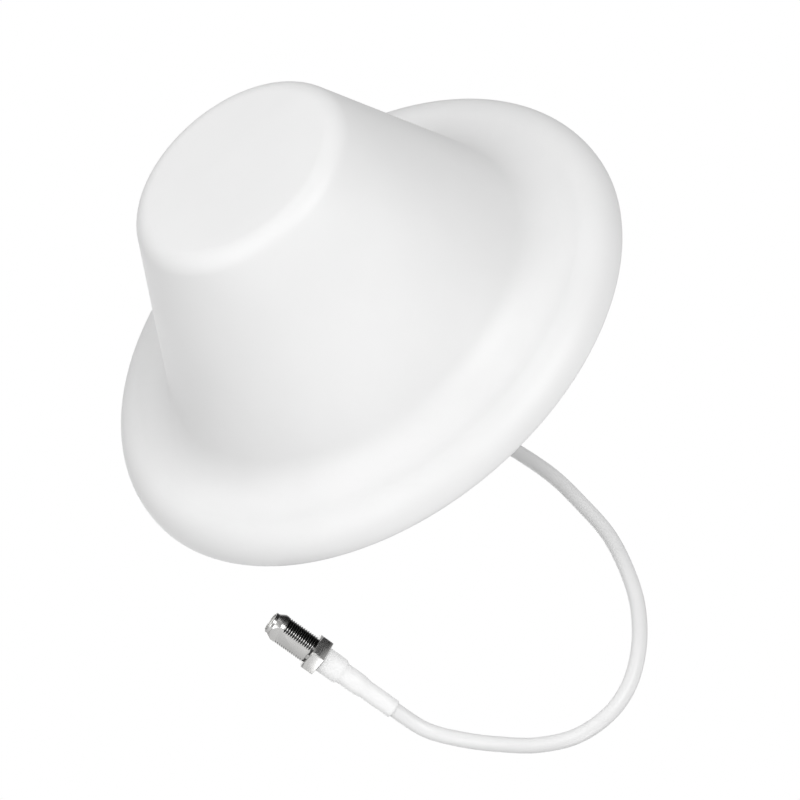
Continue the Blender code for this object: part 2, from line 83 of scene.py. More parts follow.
def cleanMesh(piece, merge=2e-6):
    pick(piece)
    bpy.ops.object.mode_set(mode="EDIT")
    bpy.ops.mesh.select_all(action="SELECT")
    bpy.ops.mesh.remove_doubles(threshold=merge)
    bpy.ops.mesh.dissolve_degenerate(threshold=merge)
    bpy.ops.mesh.select_all(action="SELECT")
    bpy.ops.mesh.normals_make_consistent(inside=False)
    bpy.ops.object.mode_set(mode="OBJECT")


def arcPoints(centre, radius, start, end, steps):
    return [(centre[0] + radius * math.cos(start + (end - start) * i / steps),
             centre[1] + radius * math.sin(start + (end - start) * i / steps))
            for i in range(steps + 1)]


def drawOutline(name, outline):  # one vertex pushed from point to point in XZ
    dropSelection()
    bpy.ops.mesh.primitive_plane_add(size=0.001, location=(0, 0, 0))
    piece = named(name)
    bpy.ops.object.mode_set(mode="EDIT")
    bpy.ops.mesh.select_all(action="SELECT")
    bpy.ops.mesh.merge(type="CENTER")
    bpy.ops.transform.translate(value=(outline[0][0], 0, outline[0][1]))
    for before, after in zip(outline, outline[1:]):
        bpy.ops.mesh.extrude_vertices_move(
            TRANSFORM_OT_translate={"value": (after[0] - before[0], 0, after[1] - before[1])})
    bpy.ops.mesh.select_all(action="SELECT")
    bpy.ops.mesh.remove_doubles(threshold=1e-7)
    bpy.ops.object.mode_set(mode="OBJECT")
    return piece


def lathe(name, outline, steps, ring=False):  # a ring's outline is closed first
    piece = drawOutline(name, list(outline) + [outline[0]] if ring else outline)
    bpy.ops.object.mode_set(mode="EDIT")
    bpy.ops.mesh.select_all(action="SELECT")
    bpy.ops.mesh.spin(steps=steps, angle=2 * math.pi, center=(0, 0, 0), axis=(0, 0, 1))
    bpy.ops.object.mode_set(mode="OBJECT")
    cleanMesh(piece)
    return piece


def post(name, radius, low, high, place=(0, 0), sides=32):
    dropSelection()
    bpy.ops.mesh.primitive_cylinder_add(
        vertices=sides, radius=radius, depth=high - low,
        location=(place[0], place[1], (low + high) / 2))
    piece = named(name)
    settle(piece)
    return piece


def block(name, centre, size, degrees=0):
    dropSelection()
    bpy.ops.mesh.primitive_cube_add(size=1, location=centre,
                                    rotation=(0, 0, math.radians(degrees)))
    piece = named(name)
    piece.scale = size
    settle(piece)
    return piece


def combine(piece, tool, operation):
    step = piece.modifiers.new(operation.title(), "BOOLEAN")
    step.operation = operation
    step.solver = "EXACT"
    step.object = tool
    applyStep(piece, step)
    bpy.data.objects.remove(tool, do_unlink=True)


def softenEdges(piece, width, segments=2, degrees=40):
    step = piece.modifiers.new("Edges", "BEVEL")
    step.width = width
    step.segments = segments
    step.limit_method = "ANGLE"
    step.angle_limit = math.radians(degrees)
    applyStep(piece, step)


def threadRidge(name, section, startHeight, pitch, turns, stepsPerTurn):
    ridge = drawOutline(name, section + [section[0]])
    wind = ridge.modifiers.new("Wind", "SCREW")
    wind.axis = "Z"
    wind.angle = 2 * math.pi
    wind.steps = wind.render_steps = stepsPerTurn
    wind.screw_offset = pitch
    wind.iterations = turns
    applyStep(ridge, wind)
    ridge.location.z = startHeight
    settle(ridge)
    bpy.ops.object.mode_set(mode="EDIT")
    bpy.ops.mesh.select_all(action="SELECT")
    bpy.ops.mesh.fill_holes(sides=0)
    bpy.ops.object.mode_set(mode="OBJECT")
    cleanMesh(ridge, 1e-7)
    return ridge


def onRing(radius, degrees, height=0.0):
    angle = math.radians(degrees)
    return Vector((radius * math.cos(angle), radius * math.sin(angle), height))


def rememberPlace(piece):  # for patterns that follow a piece that is turned afterwards
    kept = piece.data.attributes.new("ownPlace", "FLOAT_VECTOR", "POINT")
    kept.data.foreach_set("vector", [c for vertex in piece.data.vertices for c in vertex.co])


def seat(piece, body, slot, finish, *nodes):
    piece.data.materials.clear()
    piece.data.materials.append(finish)
    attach(piece, body)
    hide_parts(*nodes)
    return piece


# camera

viewpoint = {"stand": (0.007, -0.977, -0.780), "lookUp": 39.7, "roll": 139.7, "lens": 174}
turn = (Matrix.Rotation(math.radians(90 + viewpoint["lookUp"]), 3, "X")
        @ Matrix.Rotation(math.radians(viewpoint["roll"]), 3, "Z"))
bpy.ops.object.camera_add(location=viewpoint["stand"], rotation=turn.to_euler())
eye = named("studioCamera")
eye.data.lens = viewpoint["lens"]
eye.data.sensor_width = 36
eye.data.clip_start = 0.01
eye.data.clip_end = 400
bpy.context.scene.camera = eye


# finishes

def newFinish(name, base, roughness, metallic=0.0, own=False):
    finish = bpy.data.materials.new(name)
    finish.use_nodes = True
    tree = finish.node_tree
    shader = tree.nodes["Principled BSDF"]
    shader.inputs["Base Color"].default_value = (*base, 1)
    shader.inputs["Roughness"].default_value = roughness
    shader.inputs["Metallic"].default_value = metallic
    if own:
        source = tree.nodes.new("ShaderNodeAttribute")
        source.attribute_name = "ownPlace"
        place = source.outputs["Vector"]
    else:
        place = tree.nodes.new("ShaderNodeTexCoord").outputs["Object"]
    return finish, tree, shader, place


def grain(tree, place, size, stretch=(1, 1, 1), detail=3.0, turbulence=0.5):
    spread = tree.nodes.new("ShaderNodeMapping")
    spread.inputs["Scale"].default_value = [s / size for s in stretch]
    noise = tree.nodes.new("ShaderNodeTexNoise")
    noise.inputs["Scale"].default_value = 1.0
    noise.inputs["Detail"].default_value = detail
    noise.inputs["Roughness"].default_value = turbulence
    tree.links.new(place, spread.inputs["Vector"])
    tree.links.new(spread.outputs["Vector"], noise.inputs["Vector"])
    return noise.outputs["Fac"]


def tint(tree, shader, mask, dark, light, low=0.3, high=0.7):
    ramp = tree.nodes.new("ShaderNodeValToRGB")
    ramp.color_ramp.elements[0].position = low
    ramp.color_ramp.elements[1].position = high
    ramp.color_ramp.elements[0].color = (*dark, 1)
    ramp.color_ramp.elements[1].color = (*light, 1)
    tree.links.new(mask, ramp.inputs["Fac"])
    tree.links.new(ramp.outputs["Color"], shader.inputs["Base Color"])
    return ramp


def polish(tree, shader, mask, smooth, rough):
    spread = tree.nodes.new("ShaderNodeMapRange")
    spread.inputs["From Min"].default_value = 0.3
    spread.inputs["From Max"].default_value = 0.7
    spread.inputs["To Min"].default_value = smooth
    spread.inputs["To Max"].default_value = rough
    tree.links.new(mask, spread.inputs["Value"])
    tree.links.new(spread.outputs["Result"], shader.inputs["Roughness"])


def relief(tree, shader, masks):  # (mask, height in metres, strength) from coarse to fine
    before = None
    for mask, height, strength in masks:
        bump = tree.nodes.new("ShaderNodeBump")
        bump.inputs["Distance"].default_value = height
        bump.inputs["Strength"].default_value = strength
        tree.links.new(mask, bump.inputs["Height"])
        if before:
            tree.links.new(before, bump.inputs["Normal"])
        before = bump.outputs["Normal"]
    tree.links.new(before, shader.inputs["Normal"])


def mouldedPlastic(name, base, roughness, texture=0.00035, bumps=0.22):
    finish, tree, shader, place = newFinish(name, base, roughness)
    cloud = grain(tree, place, 0.03, detail=2)
    fine = grain(tree, place, texture, detail=2)
    dark = [c * 0.985 for c in base]
    light = [min(c * 1.012, 0.95) for c in base]
    tint(tree, shader, cloud, dark, light)
    polish(tree, shader, grain(tree, place, 0.004, detail=4), roughness * 0.93,
           roughness * 1.07)
    relief(tree, shader, [(cloud, 0.0002, 0.15), (fine, 0.00002, bumps)])
    shader.inputs["IOR"].default_value = 1.53
    return finish


def drawnMetal(name, base, roughness, along=(1, 1, 12), size=0.0006, own=False):
    finish, tree, shader, place = newFinish(name, base, roughness, 1.0, own)
    marks = grain(tree, place, size, along, detail=4)
    patches = grain(tree, place, 0.006, detail=3)
    tint(tree, shader, patches, [c * 0.93 for c in base], [min(c * 1.04, 0.98) for c in base])
    polish(tree, shader, marks, roughness * 0.8, roughness * 1.25)
    relief(tree, shader, [(marks, 0.00001, 0.25)])
    return finish


# painted shade: the nickel's colour runs from near black at the thread root to plain nickel at the
# crest, standing in for the shade inside the grooves
def nickelWithPaintedGrooveShade(name, base, roughness, crestRadius, rootRadius):
    finish, tree, shader, place = newFinish(name, base, roughness, 1.0, own=True)
    flat = tree.nodes.new("ShaderNodeVectorMath")
    flat.operation = "MULTIPLY"
    flat.inputs[1].default_value = (1, 1, 0)
    reach = tree.nodes.new("ShaderNodeVectorMath")
    reach.operation = "LENGTH"
    depth = tree.nodes.new("ShaderNodeMapRange")
    depth.inputs["From Min"].default_value = rootRadius
    depth.inputs["From Max"].default_value = crestRadius
    tree.links.new(place, flat.inputs[0])
    tree.links.new(flat.outputs["Vector"], reach.inputs[0])
    tree.links.new(reach.outputs["Value"], depth.inputs["Value"])
    # painted shade in the thread grooves: near black at the root, the nickel's own colour at the
    # crest
    paintedGrooveShade = tree.nodes.new("ShaderNodeValToRGB")
    paintedGrooveShade.color_ramp.elements[0].color = (0.10, 0.10, 0.10, 1)
    paintedGrooveShade.color_ramp.elements[1].color = (*base, 1)
    paintedGrooveShade.color_ramp.elements[0].position = 0.25
    paintedGrooveShade.color_ramp.elements[1].position = 0.95
    tree.links.new(depth.outputs["Result"], paintedGrooveShade.inputs["Fac"])
    tree.links.new(paintedGrooveShade.outputs["Color"], shader.inputs["Base Color"])
    marks = grain(tree, place, 0.0005, (0.15, 0.15, 3), detail=4)
    polish(tree, shader, marks, roughness * 0.8, roughness * 1.3)
    relief(tree, shader, [(marks, 0.000006, 0.2)])
    return finish


def stretchedSleeve(name, base, roughness):
    finish, tree, shader, place = newFinish(name, base, roughness, own=True)
    folds = grain(tree, place, 0.0025, (1, 1, 0.45), detail=3)
    fine = grain(tree, place, 0.0004, detail=2)
    tint(tree, shader, folds, [c * 0.975 for c in base], base)
    polish(tree, shader, fine, roughness * 0.9, roughness * 1.1)
    relief(tree, shader, [(folds, 0.0001, 0.25), (fine, 0.00001, 0.3)])
    shader.inputs["Subsurface Weight"].default_value = 0.15
    shader.inputs["Subsurface Radius"].default_value = (0.002, 0.002, 0.002)
    return finish


whiteAbs = mouldedPlastic("whiteAbs", (0.80, 0.80, 0.80), 0.48)
naturalNylon = mouldedPlastic("naturalNylon", (0.74, 0.73, 0.68), 0.45, 0.0005)
whiteRubber = mouldedPlastic("whiteRubber", (0.70, 0.70, 0.70), 0.62, 0.0003)
whitePvc = mouldedPlastic("whitePvc", (0.80, 0.80, 0.80), 0.36, 0.0012, 0.0)
waxyPtfe = mouldedPlastic("waxyPtfe", (0.78, 0.78, 0.76), 0.5, 0.0004)
whiteShrink = stretchedSleeve("whiteShrink", (0.90, 0.90, 0.90), 0.42)
# threaded nickel with painted shade in its grooves
threadNickelWithPaintedShade = nickelWithPaintedGrooveShade("threadNickelWithPaintedShade", (0.66, 0.655, 0.645), 0.18, 0.0047, 0.0042)
turnedNickel = drawnMetal("turnedNickel", (0.66, 0.655, 0.645), 0.24, (0.3, 0.3, 4), 0.0008,
                          own=True)
plainNickel = drawnMetal("plainNickel", (0.66, 0.655, 0.645), 0.2)
zincPlate = drawnMetal("zincPlate", (0.62, 0.63, 0.64), 0.3, (1, 1, 1), 0.0008)
rolledAluminium = drawnMetal("rolledAluminium", (0.77, 0.78, 0.79), 0.32, (1, 25, 1), 0.008)
bareBrass = drawnMetal("bareBrass", (0.76, 0.67, 0.42), 0.3, (1, 1, 14), 0.006)
bareCopper = drawnMetal("bareCopper", (0.80, 0.46, 0.30), 0.35, (1, 1, 3), 0.0006)
finishOfSlot = {"white_abs": whiteAbs, "natural_nylon": naturalNylon, "zinc_screw": zincPlate,
                "aluminium_sheet": rolledAluminium, "tinned_brass": bareBrass,
                "copper_wire": bareCopper, "natural_ptfe": waxyPtfe, "white_pvc": whitePvc,
                "white_shrink": whiteShrink, "nickel_plate": plainNickel,
                "white_rubber": whiteRubber}
for part in frame["record"]["subparts"]:
    node = frame["nodes"][part["node"]]
    node.data.materials.clear()
    node.data.materials.append(finishOfSlot[part["material_slot"]])
print("camera and finishes ready")


# pigtail cable and the jack on its end

cable = {"radius": 0.002475, "length": 0.2565, "exit": (0, 0, 0.0323),
         "route": [(0, 0, 0.0323), (0, 0, 0.037), (-0.002, -0.002, 0.046),
                   (-0.005, -0.007, 0.054), (-0.009, -0.015, 0.060), (-0.012, -0.024, 0.063),
                   (-0.015, -0.040, 0.065), (-0.016, -0.056, 0.067), (-0.016, -0.073, 0.069),
                   (-0.013, -0.090, 0.070), (-0.008, -0.104, 0.072), (0.000, -0.117, 0.073),
                   (0.010, -0.126, 0.074), (0.021, -0.130, 0.074), (0.033, -0.128, 0.074),
                   (0.044, -0.120, 0.074), (0.053, -0.110, 0.073), (0.061, -0.101, 0.070),
                   (0.068, -0.093, 0.064), (0.0715, -0.0865, 0.0545),
                   (0.073, -0.08325, 0.04925), (0.0745, -0.080, 0.044)]}


def layCable():
    route = [Vector(point) for point in cable["route"]]
    line = bpy.data.curves.new("pigtail", "CURVE")
    line.dimensions = "3D"
    line.bevel_depth = cable["radius"]
    line.bevel_resolution = 10
    line.resolution_u = 14
    line.use_fill_caps = True
    spline = line.splines.new("BEZIER")
    spline.bezier_points.add(len(route) - 1)
    ahead = route[1:] + route[-1:]
    behind = route[:1] + route[:-1]
    for knot, point, after, before in zip(spline.bezier_points, route, ahead, behind):
        lean = (after - before) / 6
        knot.co = point
        knot.handle_left_type = knot.handle_right_type = "FREE"
        knot.handle_left, knot.handle_right = point - lean, point + lean
    pigtail = bpy.data.objects.new("pigtail", line)
    bpy.context.scene.collection.objects.link(pigtail)
    seat(pigtail, "antenna", "white_pvc", whitePvc, "pigtail_cable")
    return pigtail


def jackFrame():  # the axis that the jack lies on, from the end of the cable outwards
    end = Vector(cable["route"][-1])
    axis = (end - Vector(cable["route"][-3])).normalized()
    side = axis.cross(Vector((0, 0, 1))).normalized()
    lift = side.cross(axis)
    place = Matrix((side, lift, axis)).transposed().to_4x4()
    place.translation = end
    return place


jack = {"cableEnd": -0.0124, "crimpEnd": 0.0078, "hexStart": 0.0157, "hexEnd": 0.0200,
        "hexAcross": 0.0118, "hexTurn": 16.5, "barrel": 0.0047, "barrelEnd": 0.0327,
        "threadRoot": 0.00425, "groove": 0.004, "threadPitch": 0.000794, "threadEnd": 0.0313,
        "noseStart": 0.0343, "noseEnd": 0.0356, "nose": 0.0036, "bore": 0.0028,
        "shank": 0.0035, "flat": 0.0037, "flatTurn": -40.0,
        "sleeve": [0.00305, 0.0035, 0.00425]}


def makeSleeve():
    slim, middle, wide = jack["sleeve"]
    top, step, low = jack["hexStart"] - gap, jack["crimpEnd"], jack["cableEnd"]
    inner = [(cable["radius"] + gap, low), (cable["radius"] + gap, -0.0006),
             (0.0028 + gap, 0.0002), (0.0028 + gap, step - 0.0004),
             (jack["shank"] + gap, step), (jack["shank"] + gap, top)]
    outer = [(wide - 0.0002, top), (wide, top - 0.0003), (wide, top - 0.002),
             (wide, top - 0.004), (wide - 0.00005, step + 0.0013), (wide - 0.0002, step + 0.0006),
             (wide - 0.00055, step - 0.0001), (middle + 0.00005, step - 0.0008),
             (middle - 0.00003, step - 0.0018), (middle, step - 0.0038), (middle, 0.0022),
             (middle - 0.00003, 0.0010), (middle - 0.00018, 0.0001), (slim + 0.0001, -0.0008),
             (slim, -0.0018), (slim, -0.0045), (slim, -0.0075), (slim - 0.00002, low + 0.0022),
             (slim, low + 0.0008), (slim, low + 0.0002), (slim - 0.0001, low)]
    sleeve = lathe("shrinkSleeve", inner + outer, 96, ring=True)
    pick(sleeve)
    bpy.ops.object.mode_set(mode="EDIT")
    bpy.ops.mesh.select_all(action="DESELECT")
    bpy.ops.object.mode_set(mode="OBJECT")
    for vertex in sleeve.data.vertices:  # the outer skin, clear of the two ends
        along = vertex.co.z
        angle = math.atan2(vertex.co.y, vertex.co.x)
        reach = math.hypot(vertex.co.x, vertex.co.y)
        if reach > slim - 0.00015 and low + 0.0003 < along < top - 0.001:
            swell = (math.sin(angle * 3 + along * 900) * 0.5
                     + math.sin(angle * 2 - along * 1500 + 1.3)) * 0.00003
            vertex.co.x *= 1 + swell / reach
            vertex.co.y *= 1 + swell / reach
    return sleeve


def makeJackBody():
    start, end = jack["hexStart"], jack["hexEnd"]
    root, barrel, nose = jack["threadRoot"], jack["barrel"], jack["nose"]
    body = lathe("jackBody", [
        (jack["bore"], jack["noseEnd"] - 0.0002), (jack["bore"] + 0.0002, jack["noseEnd"]),
        (nose - 0.0004, jack["noseEnd"]), (nose - 0.00012, jack["noseEnd"] - 0.00012),
        (nose, jack["noseEnd"] - 0.0004), (nose + 0.00002, jack["noseStart"] + 0.0002),
        (nose + 0.0002, jack["noseStart"] - 0.00005),
        (barrel - 0.00008, jack["barrelEnd"] + 0.0001),
        (barrel, jack["barrelEnd"] - 0.00008), (barrel, jack["threadEnd"] + 0.0002),
        (root, jack["threadEnd"] - 0.0002), (root, end + 0.0009), (root, start + 0.0010),
        (0.0017, start + 0.0010), (0.0017, end), (jack["bore"], end)], 96, ring=True)
    ridge = threadRidge("jackThread", [
        (root - 0.0002, -0.00036), (root, -0.00034), (barrel, -0.00006), (barrel, 0.00006),
        (root, 0.00034), (root - 0.0002, 0.00036)], end + 0.0003, jack["threadPitch"], 14, 48)
    trim = post("threadTrim", 0.006, end - 0.001, jack["threadEnd"] + 0.0001, sides=48)
    combine(ridge, trim, "INTERSECT")
    combine(body, ridge, "UNION")
    face = onRing(jack["flat"] + 0.005, jack["flatTurn"], (end + jack["noseEnd"]) / 2 + 0.0005)
    combine(body, block("flatCut", face, (0.01, 0.02, jack["noseEnd"] - end), jack["flatTurn"]),
            "DIFFERENCE")
    corner = jack["hexAcross"] / 2 / math.cos(math.pi / 6)
    dropSelection()
    bpy.ops.mesh.primitive_cylinder_add(
        vertices=6, radius=corner, depth=end - start, location=(0, 0, (start + end) / 2),
        rotation=(0, 0, math.radians(jack["hexTurn"])))
    hexagon = named("jackHexagon")
    settle(hexagon)
    softenEdges(hexagon, 0.00022, 3)
    cone = lathe("hexChamfer", [
        (0, start), (corner - 0.0002, start), (corner + 0.0001, start + 0.0003),
        (corner + 0.0001, end - 0.00065), (corner - 0.0010, end), (0, end)], 96)
    combine(hexagon, cone, "INTERSECT")
    combine(hexagon, post("hexBore", 0.0022, start - 0.001, end + 0.001, sides=96), "DIFFERENCE")
    combine(body, hexagon, "UNION")
    shank = lathe("jackShank", [
        (0.0017, start + 0.0012), (jack["shank"], start + 0.0012), (jack["shank"], start - 0.0030),
        (jack["shank"] - 0.00015, start - 0.0032), (jack["shank"], start - 0.0034),
        (jack["shank"], jack["crimpEnd"] + gap), (0.0017, jack["crimpEnd"] + gap)], 96, ring=True)
    combine(body, shank, "UNION")
    cleanMesh(body, 1e-6)
    return body


def makeJackCore():
    high, low = jack["noseEnd"] - 0.0004, jack["hexStart"] + 0.0010
    wide = jack["bore"] - gap
    insulator = lathe("jackInsulator", [
        (0.0012, high - 0.0008), (0.0016, high - 0.0003), (0.0020, high - 0.0003),
        (0.0021, high), (wide - 0.0001, high), (wide, high - 0.0001), (wide, low), (0.0012, low)],
        64, ring=True)
    contact = lathe("jackContact", [
        (0.00045, high - 0.0010), (0.0006, high - 0.0007), (0.00085, high - 0.0007),
        (0.0009, high - 0.00085), (0.0009, low), (0.00045, low)], 48, ring=True)
    for degrees in (0, 90):
        slot = block("contactSlot", (0, 0, high - 0.0022), (0.003, 0.0002, 0.0036), degrees)
        combine(contact, slot, "DIFFERENCE")
    return insulator, contact


pigtail = layCable()
sleeve = makeSleeve()
jackBody = makeJackBody()
insulator, contact = makeJackCore()
flatSide = onRing(1, jack["flatTurn"])
threadFaces = [face.normal.dot(flatSide) < 0.98 and math.hypot(*face.center.xy) > jack["groove"]
               and jack["hexEnd"] + 0.0001 < face.center.z < jack["threadEnd"]
               for face in jackBody.data.polygons]
for piece in (sleeve, jackBody, insulator, contact):
    rememberPlace(piece)
    piece.matrix_world = jackFrame()
    settle(piece)
    roundShade(piece, 32)
seat(sleeve, "antenna", "white_shrink", whiteShrink, "heat_shrink")
seat(jackBody, "antenna", "nickel_plate", turnedNickel, "connector_body")
# the threaded faces get the nickel with painted shade in its grooves
jackBody.data.materials.append(threadNickelWithPaintedShade)
for face, grooved in zip(jackBody.data.polygons, threadFaces):
    face.material_index = int(grooved)
seat(insulator, "antenna", "natural_ptfe", waxyPtfe, "connector_insulator")
seat(contact, "antenna", "tinned_brass", bareBrass, "connector_contact")
print("pigtail and jack made")


# radome

radome = {"rim": 0.0925, "depth": 0.083, "wall": 0.0025, "rimRoll": 0.0095, "rimBand": 0.0012,
          "coneFoot": 0.0733, "coneAngle": 23.86, "valley": 0.015, "crownRound": 0.008,
          "bossRing": 0.080, "bossAngles": (45, 135, 225, 315), "boss": 0.004, "bossLow": -0.0093,
          "bossTop": -0.0033, "pilot": 0.0015, "pilotLow": -0.0085, "steps": 192}


def domeSection(inset):  # (radius, depth) from the rim to the crown
    lean = math.radians(radome["coneAngle"])
    outward = Vector((math.cos(lean), math.sin(lean)))
    along = Vector((-math.sin(lean), math.cos(lean)))
    roll = Vector((radome["rim"] - radome["rimRoll"], radome["rimBand"]))
    foot = Vector((radome["coneFoot"], 0)) + outward * radome["valley"]
    offset = foot - roll
    reach = offset.dot(along)
    spare = offset.length_squared - (radome["valley"] + radome["rimRoll"]) ** 2
    valley = foot + along * (math.sqrt(reach * reach - spare) - reach)
    between = valley - roll
    meet = math.atan2(between.y, between.x)
    crownDepth = radome["depth"] - radome["crownRound"]
    crown = (radome["coneFoot"] - crownDepth * math.tan(lean)
             - radome["crownRound"] / math.cos(lean), crownDepth)
    line = [(radome["rim"] - inset, 0.0)]
    if not inset:  # a small round where the rim meets the ceiling
        line = [(radome["rim"] - 0.0005, 0.0), (radome["rim"] - 0.00015, 0.00015),
                (radome["rim"], 0.0005)]
    line += arcPoints(roll, radome["rimRoll"] - inset, 0, meet, 26)
    line += arcPoints(valley, radome["valley"] + inset, meet - math.pi, lean - math.pi, 16)[1:]
    last = line[-1]
    rounding = arcPoints(crown, radome["crownRound"] - inset, lean, math.pi / 2, 14)
    line += [(last[0] + (rounding[0][0] - last[0]) * i / 6,
              last[1] + (rounding[0][1] - last[1]) * i / 6) for i in range(1, 6)]
    line += rounding
    edge = rounding[-1]
    line += [(edge[0] * share, edge[1]) for share in (0.75, 0.5, 0.25, 0)]
    return line


def makeRadome():
    outer = [(radius, -depth) for radius, depth in domeSection(0)]
    inner = [(radius, -depth) for radius, depth in domeSection(radome["wall"])]
    shell = lathe("domeShell", inner[::-1] + outer, radome["steps"])
    for degrees in radome["bossAngles"]:
        spot = onRing(radome["bossRing"], degrees)
        combine(shell, post("boss", radome["boss"], radome["bossLow"], radome["bossTop"], spot),
                "UNION")
        combine(shell, post("pilot", radome["pilot"], radome["pilotLow"], 0.0, spot),
                "DIFFERENCE")
    cleanMesh(shell, 1e-6)
    roundShade(shell, 35)
    return shell


seat(makeRadome(), "antenna", "white_abs", whiteAbs, "radome")
print("radome made")


# mounting plate with its threaded stud

plate = {"radius": 0.0894, "thickness": 0.003, "studHeight": 0.026, "core": 0.0090,
         "crest": 0.0100, "bore": 0.0050, "pitch": 0.002, "threadStart": 0.0010, "turns": 12,
         "screwRing": 0.080, "screwAngles": (45, 135, 225, 315), "screwHole": 0.0016,
         "countersink": 0.0035, "bossRing": 0.058, "bossAngles": (0, 90, 180, 270),
         "boss": 0.0035, "pilot": 0.0014, "ribs": 8, "ribRing": 0.0575, "ribHeight": -0.0034,
         "ribSize": (0.0290, 0.0014, 0.0026)}


def makePlate():
    low, top = -plate["thickness"], plate["studHeight"]
    base = lathe("mountingPlate", [
        (plate["bore"], top - 0.0004), (plate["bore"] + 0.0004, top),
        (plate["core"] - 0.0007, top), (plate["core"], top - 0.0010), (plate["core"], 0.0014),
        (plate["core"] + 0.0003, 0.0004), (plate["core"] + 0.0012, 0.0),
        (0.0300, 0.0), (0.0303, -0.0004), (0.0320, -0.0004), (0.0323, 0.0),
        (0.0690, 0.0), (0.0693, -0.0004), (0.0710, -0.0004), (0.0713, 0.0),
        (plate["radius"] - 0.0004, 0.0), (plate["radius"], -0.0004),
        (plate["radius"], low + 0.0003), (plate["radius"] - 0.0003, low), (0.0750, low),
        (0.0750, -0.0050), (0.0748, -0.0052), (0.0737, -0.0052), (0.0735, -0.0050),
        (0.0735, low), (0.0420, low), (0.0420, -0.0048), (0.0405, -0.0048), (0.0405, low),
        (0.0150, low), (0.0130, -0.0044), (plate["bore"], -0.0044)], 128, ring=True)
    ridge = threadRidge("studThread", [
        (plate["core"] - 0.0004, -0.00060), (plate["core"], -0.00055), (plate["crest"], -0.00015),
        (plate["crest"], 0.00015), (plate["core"], 0.00055), (plate["core"] - 0.0004, 0.00060)],
        plate["threadStart"], plate["pitch"], plate["turns"], 64)
    envelope = lathe("studEnvelope", [
        (0, 0.0012), (plate["crest"] - 0.0009, 0.0012), (plate["crest"], 0.0024),
        (plate["crest"], top - 0.0012), (plate["crest"] - 0.0013, top - 0.00005),
        (0, top - 0.00005)], 96)
    combine(ridge, envelope, "INTERSECT")
    combine(base, ridge, "UNION")
    for degrees in plate["bossAngles"]:
        spot = onRing(plate["bossRing"], degrees)
        combine(base, post("boss", plate["boss"], -0.0057, -0.0020, spot), "UNION")
        combine(base, post("pilot", plate["pilot"], -0.0080, -0.0012, spot), "DIFFERENCE")
    for count in range(plate["ribs"]):
        degrees = 360 / plate["ribs"] * (count + 0.5)
        spot = onRing(plate["ribRing"], degrees, plate["ribHeight"])
        combine(base, block("rib", spot, plate["ribSize"], degrees), "UNION")
    for degrees in plate["screwAngles"]:
        spot = onRing(plate["screwRing"], degrees)
        dropSelection()
        bpy.ops.mesh.primitive_cone_add(
            vertices=48, radius1=plate["screwHole"], radius2=plate["countersink"],
            depth=0.0020, location=(spot.x, spot.y, -0.0008))
        sink = named("sink")
        settle(sink)
        combine(base, sink, "DIFFERENCE")
        combine(base, post("hole", plate["screwHole"], -0.0040, -0.0010, spot), "DIFFERENCE")
    cleanMesh(base, 1e-6)
    roundShade(base, 35)
    return base


seat(makePlate(), "antenna", "white_abs", whiteAbs, "base_plate")


# countersunk screws that hold the plate

screw = {"head": 0.0029, "shaft": 0.0012, "root": 0.0010, "pitch": 0.0006, "ridges": 6,
         "threadTop": -0.0022, "tip": -0.0066, "sunk": -0.0004, "slot": (0.0050, 0.0006, 0.0012)}


def makePlateScrews():
    outline = [(0, 0), (screw["head"] - 0.0001, 0), (screw["head"], -0.0001),
               (screw["shaft"], -0.0016), (screw["shaft"], screw["threadTop"])]
    for ridge in range(screw["ridges"]):
        drop = screw["threadTop"] - screw["pitch"] * ridge
        outline += [(screw["root"], drop - 0.0002), (screw["shaft"], drop - 0.0005)]
    outline += [(screw["root"] - 0.0004, screw["tip"]), (0, screw["tip"])]
    first = lathe("plateScrew1", outline, 48)
    combine(first, block("slot", (0, 0, 0), screw["slot"]), "DIFFERENCE")
    cleanMesh(first, 1e-6)
    roundShade(first, 35)
    for number, degrees in enumerate(plate["screwAngles"], start=1):
        copy = first.copy()
        copy.data = first.data.copy()
        bpy.context.scene.collection.objects.link(copy)
        copy.name = copy.data.name = f"plateScrew{number}"
        copy.location = onRing(plate["screwRing"], degrees, screw["sunk"])
        copy.rotation_euler.z = math.radians(degrees * 1.7)
        settle(copy)
        seat(copy, "antenna", "zinc_screw", zincPlate, f"base_screw_{number}")
    bpy.data.objects.remove(first, do_unlink=True)


makePlateScrews()
print("mounting plate and screws made")


# washer and nut that clamp the ceiling panel

clamp = {"washerLow": 0.0125, "washerTop": 0.0145, "washer": 0.0205, "washerHole": 0.0106,
         "nutLow": 0.0148, "nutTop": 0.0228, "flange": 0.0185, "flangeTop": 0.0168,
         "acrossFlats": 0.030, "bore": 0.01035, "crest": 0.00925, "threadLow": 0.0160}


def makeWasher():
    low, top, out, hole = (clamp[k] for k in ("washerLow", "washerTop", "washer", "washerHole"))
    ring = lathe("clampWasher", [
        (hole, low + 0.0002), (hole, top - 0.0002), (hole + 0.0002, top),
        (0.0196, top), (out - 0.0001, top - 0.0004), (out, top - 0.0007), (out, low + 0.0003),
        (out - 0.0003, low), (hole + 0.0002, low)], 128, ring=True)
    roundShade(ring, 25)
    return ring


